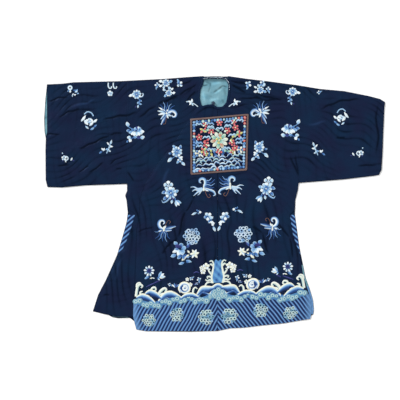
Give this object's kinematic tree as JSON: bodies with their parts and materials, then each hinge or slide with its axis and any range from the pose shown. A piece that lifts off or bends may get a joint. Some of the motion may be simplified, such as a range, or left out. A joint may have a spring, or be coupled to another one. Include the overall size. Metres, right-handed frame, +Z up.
{
  "type": "side-fastening changshan robe laid flat",
  "caption": "Wide-sleeved silk robe laid flat, with a curved side-fastening overlap, round bound neck, chest badge, side vents and a lined body.",
  "frame": {"origin": "on the floor under the middle of the robe's box", "axes": "+X along the sleeves to the viewer's right, +Y towards the neck, +Z up from the floor through the front"},
  "size_m": [1.4295, 1.0729, 0.0123],
  "materials": {
    "navy_silk": "navy silk satin with blue and white embroidery",
    "teal_lining": "pale teal silk lining",
    "badge_silk": "dark silk covered with satin stitch embroidery",
    "brown_ribbon": "woven brown ribbon with a metallic thread",
    "silk_cord": "navy silk cord"
  },
  "bodies": {
    "root": {"right_body": "navy_silk", "left_body": "navy_silk", "overlap": "navy_silk", "right_sleeve": "navy_silk", "left_sleeve": "navy_silk", "neck_binding": "navy_silk", "neck_lining": "teal_lining", "cuff_lining": "teal_lining", "vent_lining": "teal_lining", "hem_lining": "teal_lining", "badge": "badge_silk", "badge_ribbon": "brown_ribbon", "button_loop": "silk_cord", "knot_button": "silk_cord"}
  },
  "joints": []
}
